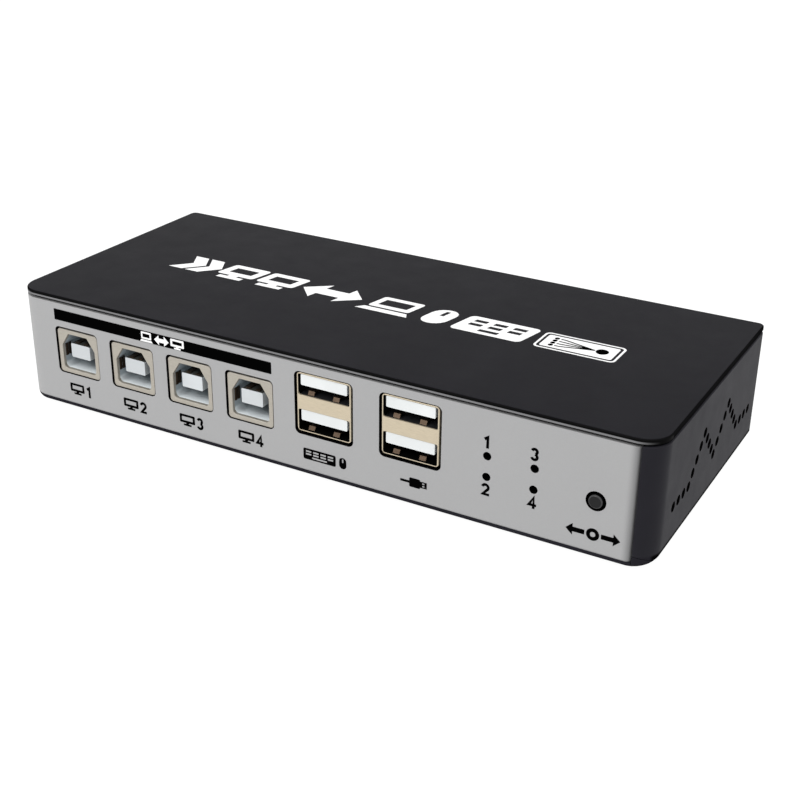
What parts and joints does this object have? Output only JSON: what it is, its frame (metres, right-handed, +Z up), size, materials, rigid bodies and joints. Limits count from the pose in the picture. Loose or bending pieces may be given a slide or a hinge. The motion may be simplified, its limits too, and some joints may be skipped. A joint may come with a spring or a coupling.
{
  "type": "kvm switch",
  "caption": "Flat desktop switch box with a silver front panel, black case, rows of peripheral and video sockets, status lamps, a push button and zigzag side vents.",
  "frame": {"origin": "middle of the footprint, on the surface that the rubber feet stand on", "axes": "+X to the right along the front panel, -Y out of the front panel, +Z up"},
  "size_m": [0.156, 0.0673, 0.0287],
  "materials": {
    "lid_black": "satin moulded plastic",
    "case_black": "fine satin moulded plastic",
    "panel_silver": "satin silver lacquer",
    "foot_rubber": "matt rubber",
    "screw_steel": "black zinc",
    "board_green": "solder mask",
    "socket_metal": "warm nickel plate",
    "core_white": "white moulded plastic",
    "core_black": "black moulded plastic",
    "contact_copper": "copper alloy",
    "jack_black": "black moulded plastic",
    "lamp_lens": "smoked lens",
    "button_black": "satin black",
    "switch_plastic": "moulded plastic",
    "switch_spring": "spring steel",
    "chip_black": "moulding compound",
    "sink_aluminium": "black anodised",
    "crystal_can": "bright can",
    "capacitor_can": "bright can"
  },
  "bodies": {
    "case": {"top_cover": "lid_black", "base_plate": "case_black", "left_side": "case_black", "right_side": "case_black", "front_panel": "panel_silver", "rear_panel": "case_black", "case_screws": "screw_steel", "board_screws": "screw_steel", "main_board": "board_green", "video_contacts": "contact_copper", "power_jack_body": "jack_black", "power_jack_pin": "socket_metal", "power_jack_spring": "socket_metal", "switch_body": "switch_plastic", "switch_dome": "switch_spring", "switcher_chip": "chip_black", "heat_sink": "sink_aluminium", "logic_chips": "chip_black", "crystals": "crystal_can", "power_capacitors": "capacitor_can", "rubber_foot_1": "foot_rubber", "square_socket_shell_1": "socket_metal", "square_socket_core_1": "core_white", "square_socket_contacts_1": "contact_copper", "status_lamp_1": "lamp_lens", "rubber_foot_2": "foot_rubber", "square_socket_shell_2": "socket_metal", "square_socket_core_2": "core_white", "square_socket_contacts_2": "contact_copper", "status_lamp_2": "lamp_lens", "rubber_foot_3": "foot_rubber", "square_socket_shell_3": "socket_metal", "square_socket_core_3": "core_white", "square_socket_contacts_3": "contact_copper", "status_lamp_3": "lamp_lens", "rubber_foot_4": "foot_rubber", "square_socket_shell_4": "socket_metal", "square_socket_core_4": "core_white", "square_socket_contacts_4": "contact_copper", "status_lamp_4": "lamp_lens", "double_socket_shell_1": "socket_metal", "double_socket_core_1": "core_white", "double_socket_contacts_1": "contact_copper", "double_socket_shell_2": "socket_metal", "double_socket_core_2": "core_white", "double_socket_contacts_2": "contact_copper", "video_socket_shell_1": "socket_metal", "video_socket_core_1": "core_black", "video_socket_shell_2": "socket_metal", "video_socket_core_2": "core_black", "video_socket_shell_3": "socket_metal", "video_socket_core_3": "core_black", "video_socket_shell_4": "socket_metal", "video_socket_core_4": "core_black", "video_socket_shell_5": "socket_metal", "video_socket_core_5": "core_black", "lamp_holder_left": "core_black", "lamp_holder_right": "core_black"},
    "push_button": {"button_cap": "button_black", "switch_plunger": "switch_plastic"}
  },
  "joints": [
    {"name": "button_press", "type": "slide", "parent": "case", "child": "push_button", "axis": [0, 1, 0], "range_m": [0, 0.00025], "stiffness_N_per_m": 300, "springref_m": -0.004}
  ]
}
